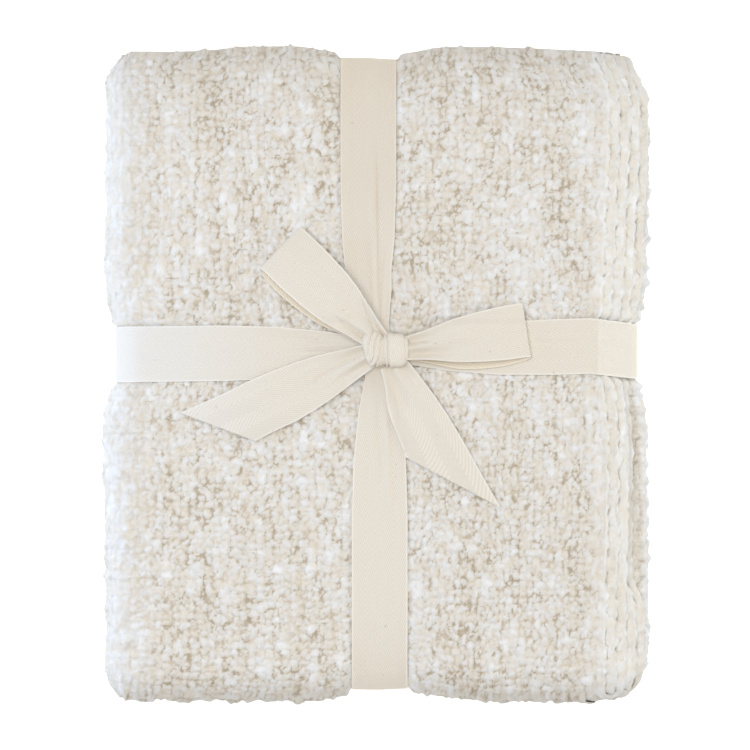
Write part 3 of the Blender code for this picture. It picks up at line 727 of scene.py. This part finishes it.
# Creases in the upper face of each piece of the tape, in mm: where each starts, where it ends, how far it
# rises, and its width.
CREASES = {
    "tie_lengthwise": [
        ((-0.4, 132), (1.2, 36), -1.1, 0.9), ((-3.6, 112), (-1.4, 36), 0.7, 2.0),
        ((6.0, 80), (2.8, 36), 0.5, 0.9), ((4.6, -16), (7.2, -84), 0.7, 2.0),
        ((0.5, -16), (2.4, -62), -0.6, 1.6),
    ],
    "tie_crosswise": [
        ((-44, 14.2), (-20, 14.8), -1.1, 0.9), ((-44, 11.6), (-20, 12.4), 0.6, 1.5),
        ((-62, 28.0), (-24, 18.4), -0.8, 2.2), ((84, 18.6), (114, 18.9), -0.5, 1.5),
    ],
    "bow_upper_loop": [
        ((-24, 36.4), (-2, 20.4), 1.1, 1.5), ((-24, 32.4), (-3, 18.0), -1.2, 1.3),
        ((-9.5, 45), (-0.6, 22), -1.2, 0.9), ((-5.8, 41), (2.2, 23), -1.1, 0.8),
        ((-36, 52), (-14, 30), -0.5, 2.4),
    ],
    "bow_right_loop": [
        ((16, 17.4), (28, 18.6), -1.3, 1.1), ((26, 21.0), (52, 21.6), 0.8, 2.4),
        ((18, 12.0), (44, 12.4), -0.7, 1.5),
    ],
    "bow_left_end": [
        ((-7, 13.6), (-38, -4.6), -1.2, 1.2), ((-8, 9.0), (-34, -8.8), 0.8, 1.8),
        ((-10, 15.6), (-48, -2.0), 0.4, 1.8),
    ],
    "bow_right_end": [
        ((3.0, -3), (10, -32), 0.8, 1.4), ((6.4, -2), (13, -28), -1.0, 1.3),
        ((11, -1), (20, -26), -0.6, 1.6),
    ],
}


def straight(start, end):
    """A line given in mm: its start, its length and its direction."""
    start, end = np.array(start) * MM, np.array(end) * MM
    length = np.linalg.norm(end - start)
    return start, length, (end - start) / length


def creased(name, x, y):
    """How far the creases lift a piece of the tape at places on it."""
    rise = np.zeros(np.shape(x))
    for start, end, depth, width in CREASES.get(name, []):
        start, length, ahead = straight(start, end)
        way = ((x - start[0]) * ahead[0] + (y - start[1]) * ahead[1]) / length
        away = (x - start[0]) * ahead[1] - (y - start[1]) * ahead[0]
        there = ease((way + 0.1) / 0.35) * ease((1.1 - way) / 0.25)
        rise += depth * MM * there * np.exp(-((away / (width * MM)) ** 2))
    return rise


def tape(name, middle, inside=0.0):
    """A length of tape, from the grid of points on its middle: stations along it by columns across it. It
    gets painted shade where inside is 1, as in a loop, and towards the far end, and painted light towards the
    left."""
    along, across = np.gradient(middle, axis=0), np.gradient(middle, axis=1)
    normal = np.cross(along, across)
    normal /= np.maximum(np.linalg.norm(normal, axis=-1, keepdims=True), 1e-12)
    centre = middle[:, middle.shape[1] // 2]
    travelled = np.concatenate([[0], np.cumsum(np.linalg.norm(np.diff(centre, axis=0), axis=-1))])
    kept = {
        "tape_along": np.broadcast_to(travelled[:, None], middle.shape[:2]),
        "tape_across": np.broadcast_to(TAPE_COLUMNS * TAPE_WIDTH / 2, middle.shape[:2]),
        "tape_inside": np.broadcast_to(inside, middle.shape[:2]),
        "tape_painted_shade": ease((middle[..., 1] - TONE_FROM) / TONE_REACH),
        "tape_painted_light": ease((-middle[..., 0] - TONE_FROM) / TONE_REACH),
    }
    made = closed_sheet(name, middle + normal * TAPE / 2, middle - normal * TAPE / 2, kept)
    return Strip(made, travelled[-1], middle)


def outline(away, along, height):
    """The outline across the folded stack under a band: its points as places along the band and heights."""
    under = np.abs(away) < PRESS_FLAT + PRESS_FADE
    return np.stack([along[under], height[under]], -1)


def band(name, section, knot, to_plan):
    """One turn of tape round the stack, from the knot out, under the throw and back to the knot."""
    rims = []
    for turned in (0, 180):
        for angle in np.radians(turned + np.linspace(95, 265, RIM_STEPS)):
            way = np.array([np.cos(angle), np.sin(angle)])
            clear = TAPE_CLEAR + (UNDER_CLEAR[name] - TAPE_CLEAR) * max(0, -way[1])
            place = section[np.argmax(section @ way)]
            rims.append((*(place + way * [TAPE_CLEAR, clear]), TAPE_WIDTH))
    first, last = rims[0][0] + RIM_APART, rims[-1][0] - RIM_APART
    top = []
    for start, end in ((first, knot - KNOT_HALF), (knot + KNOT_HALF, last)):
        places = spaced(start, end, TOP_STEP)
        lifts = STACK + TAPE_CLEAR + np.interp(np.abs(places - knot), GATHER_AWAY, GATHER_LIFT)
        top.append(np.stack([places, lifts, band_width(places - knot)], -1)[::-1])
    below = np.linspace(rims[RIM_STEPS - 1], rims[RIM_STEPS], UNDER_STEPS)[1:-1]
    path = np.concatenate([top[0], rims[:RIM_STEPS], below, rims[RIM_STEPS:], top[1]])
    place, height, width = path.T[..., None]
    across = TAPE_COLUMNS * width / 2
    place, height = np.broadcast_to(place, across.shape), np.broadcast_to(height, across.shape)
    points = settle(np.stack([*to_plan(place, across), height], -1))
    on_top = ease((points[..., 2] - STACK / 2) / (STACK / 4))
    points[..., 2] += on_top * creased(f"tie_{name}", points[..., 0], points[..., 1])
    return tape(f"tie_{name}", points)


def smooth_rows(rows, steps):
    """Rows of a table with more rows between them, on a smooth curve through them all."""
    rows = np.array(rows, float)
    padded = np.concatenate([[2 * rows[0] - rows[1]], rows, [2 * rows[-1] - rows[-2]]])
    found = []
    for k in range(1, len(rows)):
        a, b, c, d = padded[k - 1 : k + 3]
        for t in np.arange(steps) / steps:
            curved = (2 * a - 5 * b + 4 * c - d) * t**2 + (3 * b - a - 3 * c + d) * t**3
            found.append(0.5 * (2 * b + (c - a) * t + curved))
    return np.array(found + [rows[-1]])


def bow_part(bow):
    """A loop or a free end, which lies over the upper face."""
    start, length, ahead = straight(bow.start, bow.end)
    aside = np.array([ahead[1], -ahead[0]])
    way, lift, width, shift, skew = smooth_rows(bow.rows, BOW_STEPS).T[..., None]
    lift, width, shift, skew = (column * MM for column in (lift, width, shift, skew))
    along = way * length + skew * TAPE_COLUMNS
    across = shift + width / 2 * TAPE_COLUMNS
    flat = start + along[..., None] * ahead + across[..., None] * aside
    gathered = ease((GATHER_FROM - width) / GATHER_BY)
    pleats = PLEAT * gathered * np.cos(pi * 2 * TAPE_COLUMNS)
    name = f"bow_{bow.name}"
    creases = creased(name, flat[..., 0], flat[..., 1])
    height = top_face(flat[..., 0], flat[..., 1]) + lift + pleats + creases
    is_loop = way[-1] < 0.5
    lower = is_loop * fading(np.arange(len(way)) / len(way) - LOOP_HALF, LOOP_FADE)
    return tape(name, np.concatenate([flat, height[..., None]], -1), lower[:, None])


# The turns of the knot: sizes in mm, turn in degrees, and pleats as shares of half_x, which slant round it.
Wrap = namedtuple("Wrap", "name x y half_x half_y half_z turn pleats slant")
KNOT_WRAPS = [
    Wrap("knot_left", -7.2, 0.6, 6.6, 10.2, 6.4, turn=14, pleats=(-0.55, 0, 0.5), slant=-0.85),
    Wrap("knot_right", 3.6, -0.2, 8.8, 9.9, 7.0, turn=-3, pleats=(-0.62, -0.36, 0.8), slant=0.12),
]
KNOT_SQUARE, KNOT_ROUND = 3.2, 0.62  # how square a turn is, seen from above and from its side
KNOT_PLEAT, KNOT_PLEAT_WIDTH = 0.14, 0.07  # shares of the girth, and of half the width
KNOT_RIDGE, KNOT_RIDGE_AWAY, KNOT_RIDGE_WIDTH = 0.05, 0.14, 0.09  # the cloth stands up beside a pleat


def knot_wrap(wrap):
    """One of the turns of tape round the knot, pressed square, with its gathers."""
    places = np.sin(pi / 2 * np.linspace(-1, 1, 81))
    side, around = np.meshgrid(places, np.linspace(0, 2 * pi, 97), indexing="ij")
    girth = np.clip(1 - np.abs(side) ** KNOT_SQUARE, 0, 1) ** (1 / KNOT_SQUARE)
    for pleat in wrap.pleats:
        beside = side + wrap.slant * np.cos(around) - pleat
        ridge = KNOT_RIDGE * np.exp(-(((beside - KNOT_RIDGE_AWAY) / KNOT_RIDGE_WIDTH) ** 2))
        girth *= 1 - KNOT_PLEAT * np.exp(-((beside / KNOT_PLEAT_WIDTH) ** 2)) + ridge
    y, z = (np.sign(c) * np.abs(c) ** KNOT_ROUND for c in (np.cos(around), np.sin(around)))
    p = np.stack([side, girth * y, girth * z], -1) * np.array([wrap.half_x, wrap.half_y, wrap.half_z]) * MM
    turn = wrap.turn * pi / 180
    x = np.cos(turn) * p[..., 0] - np.sin(turn) * p[..., 1] + KNOT[0] + wrap.x * MM
    y = np.sin(turn) * p[..., 0] + np.cos(turn) * p[..., 1] + KNOT[1] + wrap.y * MM
    z = p[..., 2] + top_face(*KNOT) + KNOT_LIFT
    kept = {"tape_along": around * wrap.half_y * MM, "tape_across": p[..., 0]}
    points = np.stack([x, y, z], -1)
    return add_object(wrap.name, points.reshape(-1, 3), grid_faces(*side.shape)[:, ::-1], kept)


def fray(name, strip):
    """The threads that stand out of a cut end of the tape: thin, bent and three-sided."""
    rng = np.random.default_rng(FRAY_SEED)
    edge, before = strip.middle[-1], strip.middle[-3]
    t = np.linspace(0, 1, FRAY_BENDS)[:, None]
    angles = np.arange(3)[:, None] * 2 * pi / 3
    points = []
    for _ in range(FRAY_COUNT):
        at = rng.uniform(0, len(edge) - 1)
        share, k = at % 1, min(int(at), len(edge) - 2)
        foot, behind = (row[k] * (1 - share) + row[k + 1] * share for row in (edge, before))
        out = (foot - behind) / np.linalg.norm(foot - behind)
        aside = (edge[k + 1] - edge[k]) / np.linalg.norm(edge[k + 1] - edge[k])
        up = np.cross(out, aside) * np.sign(np.cross(out, aside)[2])
        reach = FRAY_REACH * rng.uniform(0.3, 1)
        lean, curl, rise = rng.uniform(-0.7, 0.7), rng.uniform(-0.8, 0.8), rng.uniform(-0.15, 0.5)
        middle = foot + reach * (out * (t - FRAY_ROOT) + aside * (lean * t + curl * t * t) + up * rise * t)
        thick = FRAY_THICK * (1 - FRAY_TAPER * t)
        points.append(middle[:, None] + thick[:, None] * (np.cos(angles) * aside + np.sin(angles) * up))
    low = np.arange(FRAY_COUNT * FRAY_BENDS * 3).reshape(FRAY_COUNT, FRAY_BENDS, 3)
    high = np.roll(low, -1, 2)
    faces = np.stack([low[:, 1:], high[:, 1:], high[:, :-1], low[:, :-1]], -1)
    return add_object(name, np.reshape(points, (-1, 3)), faces.reshape(-1, 4))


def make_tie():
    """The two bands, the parts of the bow, the turns of the knot and the threads of both cut ends."""
    places = stations(ACROSS, 0, 1 * MM), stations(ALONG, BAND_Y, 0.5 * MM)
    across, along = np.meshgrid(*places, indexing="ij")
    x, y, z = np.moveaxis(stacked(across, along, CLOTH / 2), -1, 0)
    bands = [
        band("crosswise", outline(y - BAND_Y, x, z), KNOT[0], lambda place, across: (place, BAND_Y + across)),
        band("lengthwise", outline(x, y, z), KNOT[1], lambda place, across: (across, place)),
    ]
    bow = [bow_part(part) for part in BOW]
    wraps = [knot_wrap(wrap) for wrap in KNOT_WRAPS]
    frays = [fray("frayed_left", bow[2]), fray("frayed_right", bow[3])]
    return bands, bow, wraps, frays


# --- materials ---


class Nodes:
    """Short ways to add a material's nodes."""

    def __init__(self, name):
        self.material = bpy.data.materials.new(name)
        self.material.use_nodes = True
        self.tree = self.material.node_tree
        self.shader = self.tree.nodes["Principled BSDF"]

    def add(self, kind, settings=(), **inputs):
        node = self.tree.nodes.new(kind)
        for label, value in dict(settings).items():
            setattr(node, label, value)
        for label, value in inputs.items():
            self.set(node.inputs[label], value)
        return node

    def set(self, socket, value):
        if isinstance(value, bpy.types.NodeSocket):
            self.tree.links.new(value, socket)
        else:
            socket.default_value = value

    def math(self, operation, *values):
        node = self.add("ShaderNodeMath", {"operation": operation})
        for socket, value in zip(node.inputs, values):
            self.set(socket, value)
        return node.outputs[0]

    def kept(self, label):
        return self.add("ShaderNodeAttribute", {"attribute_name": label}).outputs["Fac"]

    def ramp(self, share, stops):
        node = self.add("ShaderNodeValToRGB", Fac=share)
        while len(node.color_ramp.elements) < len(stops):
            node.color_ramp.elements.new(0.5)
        for element, (place, colour) in zip(node.color_ramp.elements, stops):
            element.position, element.color = place, (*colour, 1)
        return node.outputs["Color"]

    def mix(self, share, first, second):
        node = self.add("ShaderNodeMix", {"data_type": "RGBA"}, Factor=share)
        for socket, value in zip(node.inputs[6:8], (first, second)):
            self.set(socket, (*value, 1) if isinstance(value, tuple) else value)
        return node.outputs[2]

    def noise(self, scale, detail=2.0, roughness=0.5, distortion=0.0):
        looks = {"Scale": scale, "Detail": detail, "Roughness": roughness, "Distortion": distortion}
        place = self.add("ShaderNodeTexCoord").outputs["Object"]
        return self.add("ShaderNodeTexNoise", Vector=place, **looks).outputs["Fac"]

    def above(self, value, start, steepness):
        """How far a value is above start, times steepness."""
        past = self.math("MAXIMUM", self.math("SUBTRACT", value, start), 0.0)
        return self.math("MULTIPLY", past, steepness)

    def bump(self, height, distance, strength=1.0):
        node = self.add("ShaderNodeBump", Height=height, Distance=distance, Strength=strength)
        self.set(self.shader.inputs["Normal"], node.outputs["Normal"])

    def finished(self, **looks):
        """The material, with these settings of its shader."""
        for label, value in looks.items():
            self.set(self.shader.inputs[label.replace("_", " ")], value)
        return self.material

    def cloth(self, colour, roughness, sheen):
        looks = {"Base_Color": colour, "Roughness": roughness, "Sheen_Weight": sheen}
        return self.finished(**looks, Sheen_Roughness=0.6, Specular_IOR_Level=0.2)


# The two deepest colours of the ramp are painted shade for the hollows and creases of the weave.
HOLE_SHADE, YARN_DEEP_SHADE, YARN_LOW = (0.53, 0.445, 0.33), (0.765, 0.70, 0.605), (0.845, 0.81, 0.75)
YARN_TOP, YARN_WARM, SLUB = (0.89, 0.885, 0.875), (0.87, 0.80, 0.69), (0.985, 0.985, 0.985)
BLACK = (0.0, 0.0, 0.0)
FIBRE_LIFT = 0.5  # how much the fine fibres change the tone of the yarn


def boucle_material():
    """Off-white yarn with painted tan shade down in the holes and creases, white in the slubs and painted
    shade towards the rims, with a fluff of fine fibres.
    """
    made = Nodes("boucle")
    fibres = made.noise(780, 2, 0.6, 1.6)
    unevenness = made.math("MULTIPLY", made.math("SUBTRACT", fibres, 0.5), FIBRE_LIFT)
    lift = made.math("ADD", made.kept("lift"), unevenness)
    depth = made.ramp(lift, [(0.0, HOLE_SHADE), (0.16, YARN_DEEP_SHADE), (0.42, YARN_LOW), (0.85, YARN_TOP)])
    colour = made.mix(made.kept("white"), depth, SLUB)
    colour = made.mix(made.above(made.noise(150, 1), 0.42, 2.4), colour, YARN_WARM)
    # Painted shade: darker towards the near and far rims and on the loose loop.
    colour = made.mix(made.kept("painted_shade"), colour, BLACK)
    made.bump(fibres, 0.9 * MM, 0.7)
    return made.cloth(colour, 0.95, 0.25)


def core_material():
    """The plain sheet between and behind the yarns, in the tones of the painted shade of the holes."""
    made = Nodes("boucle_core")
    made.bump(made.noise(700, 3, 0.6), 0.8 * MM)
    return made.cloth(made.mix(made.noise(400), HOLE_SHADE, YARN_LOW), 0.95, 0.2)


TWILL_LOW, TWILL_TOP = (0.775, 0.713, 0.607), (0.863, 0.81, 0.728)
SELVEDGE_TONE, SELVEDGE, SELVEDGE_MOST = (0.96, 0.93, 0.87), 1.2 * MM, 0.6
SPECK, SPECK_FROM, SPECK_SHARE = (0.5, 0.38, 0.25), 0.855, 0.4
TWILL_COLUMN = 8 * MM  # width of one slant of the herringbone
TWILL_ACROSS, TWILL_ALONG = 1.35 * MM, 3.1 * MM  # from one line to the next
TWILL_TONES = {  # numbers kept on the tape, how much each tells there, and the tone it gives: painted shade inside the loops and towards the far end, painted light towards the left
    "tape_inside": (0.55, (0.93, 0.81, 0.61)),
    "tape_painted_shade": (0.4, (0.68, 0.60, 0.485)),
    "tape_painted_light": (0.3, (0.86, 0.90, 0.955)),
}


def twill_material():
    """Unbleached cotton herringbone, with painted shade and painted light from the numbers kept on the tape.
    """
    made = Nodes("twill")
    across, along = made.kept("tape_across"), made.kept("tape_along")
    column = made.math("PINGPONG", made.math("ADD", across, TWILL_COLUMN), TWILL_COLUMN)
    column, along = made.math("DIVIDE", column, TWILL_ACROSS), made.math("DIVIDE", along, TWILL_ALONG)
    turns = made.math("MULTIPLY", made.math("ADD", column, along), 2 * pi)
    lines = made.math("MULTIPLY_ADD", made.math("SINE", turns), 0.5, 0.5)
    colour = made.mix(lines, TWILL_LOW, TWILL_TOP)
    edge = made.math("SUBTRACT", made.math("ABSOLUTE", across), TAPE_WIDTH / 2 - SELVEDGE)
    edge = made.math("MINIMUM", made.above(edge, 0.0, 1 / SELVEDGE), SELVEDGE_MOST)
    colour = made.mix(edge, colour, SELVEDGE_TONE)
    speck = made.math("GREATER_THAN", made.noise(420, 0), SPECK_FROM)
    colour = made.mix(made.math("MULTIPLY", speck, SPECK_SHARE), colour, SPECK)
    colour = made.mix(made.above(made.noise(90, 3, 0.6), 0.5, 0.5), colour, TWILL_LOW)
    for label, (share, tone) in TWILL_TONES.items():
        colour = made.mix(made.math("MULTIPLY", made.kept(label), share), colour, tone)
    made.bump(lines, 0.15 * MM, 0.9)
    return made.cloth(colour, 0.8, 0.1)


def thread_material():
    """The loose cotton of the cut ends."""
    made = Nodes("thread")
    return made.cloth(made.mix(made.noise(500), (0.90, 0.87, 0.82), (0.98, 0.97, 0.95)), 0.9, 0.2)


# --- the studio ---

LAMPS = [  # name, place, size, power and colour
    ("key", (-0.95, 0.05, 0.26), 0.5, 2.6, (0.38, 0.62, 1)),
    ("fill", (1.1, 0, 0.4), 0.8, 3.2, (0.80, 0.91, 1)),
    ("above", (-0.25, 0.15, 2.0), 1.5, 23, (0.98, 0.985, 1)),
]
LAMPS_AT = Vector((0, 0, 0.03))  # what the lamps point at
WORLD, WORLD_POWER = (1, 0.96, 0.90, 1), 0.42
FLOOR_SIZE, FLOOR_TONE, FLOOR_GLOW, WHITE = 6, (0.93, 0.93, 0.93, 1), 0.6, (1, 1, 1, 1)
PHOTO_WIDTH = 750 / 1724  # metres across the picture at half the throw's height
LENS, VIEW_END = 180, 20
CAMERA_X, CAMERA_Y = -1.2 * MM, -0.3 * MM


def make_studio():
    """The floor, the light and the camera."""
    corners = np.array([(-1, -1, 0), (1, -1, 0), (1, 1, 0), (-1, 1, 0)]) * FLOOR_SIZE / 2
    floor = add_object("floor", corners, np.array([[0, 1, 2, 3]]))
    looks = {"Base_Color": FLOOR_TONE, "Emission_Color": WHITE, "Emission_Strength": FLOOR_GLOW}
    floor.data.materials.append(Nodes("floor").finished(**looks, Roughness=1))

    world = bpy.data.worlds.new("studio")
    bpy.context.scene.world = world
    world.use_nodes = True
    light = world.node_tree.nodes["Background"].inputs
    light["Color"].default_value, light["Strength"].default_value = WORLD, WORLD_POWER
    for name, place, size, power, colour in LAMPS:
        data = bpy.data.lights.new(name, "AREA")
        data.shape, data.size, data.energy, data.color = "DISK", size, power, colour
        made = place_object(name, data, place)
        made.rotation_euler = (LAMPS_AT - made.location).to_track_quat("-Z", "Y").to_euler()

    camera = bpy.data.cameras.new("camera")
    camera.lens, camera.clip_end = LENS, VIEW_END
    distance = PHOTO_WIDTH * LENS / camera.sensor_width
    place = (CAMERA_X, CAMERA_Y, STACK / 2 + distance)
    bpy.context.scene.camera = place_object("camera", camera, place)
    bpy.context.scene.view_settings.view_transform = "Standard"


# --- all of it ---


def dress(pieces, material):
    """Gives pieces their material and the body they ride on."""
    for piece in pieces:
        piece.data.materials.append(material)
        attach(piece, "root")


def main():
    """Makes every piece, gives each its material, hides the imported solids and sets up the studio."""
    sheet, skins = make_throw()
    bands, bow, wraps, frays = make_tie()
    dress([sheet], core_material())
    dress(skins, boucle_material())
    strips = bands + bow
    dress([strip.piece for strip in strips] + wraps, twill_material())
    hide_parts("throw")
    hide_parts("tie")
    dress(frays, thread_material())
    make_studio()


main()
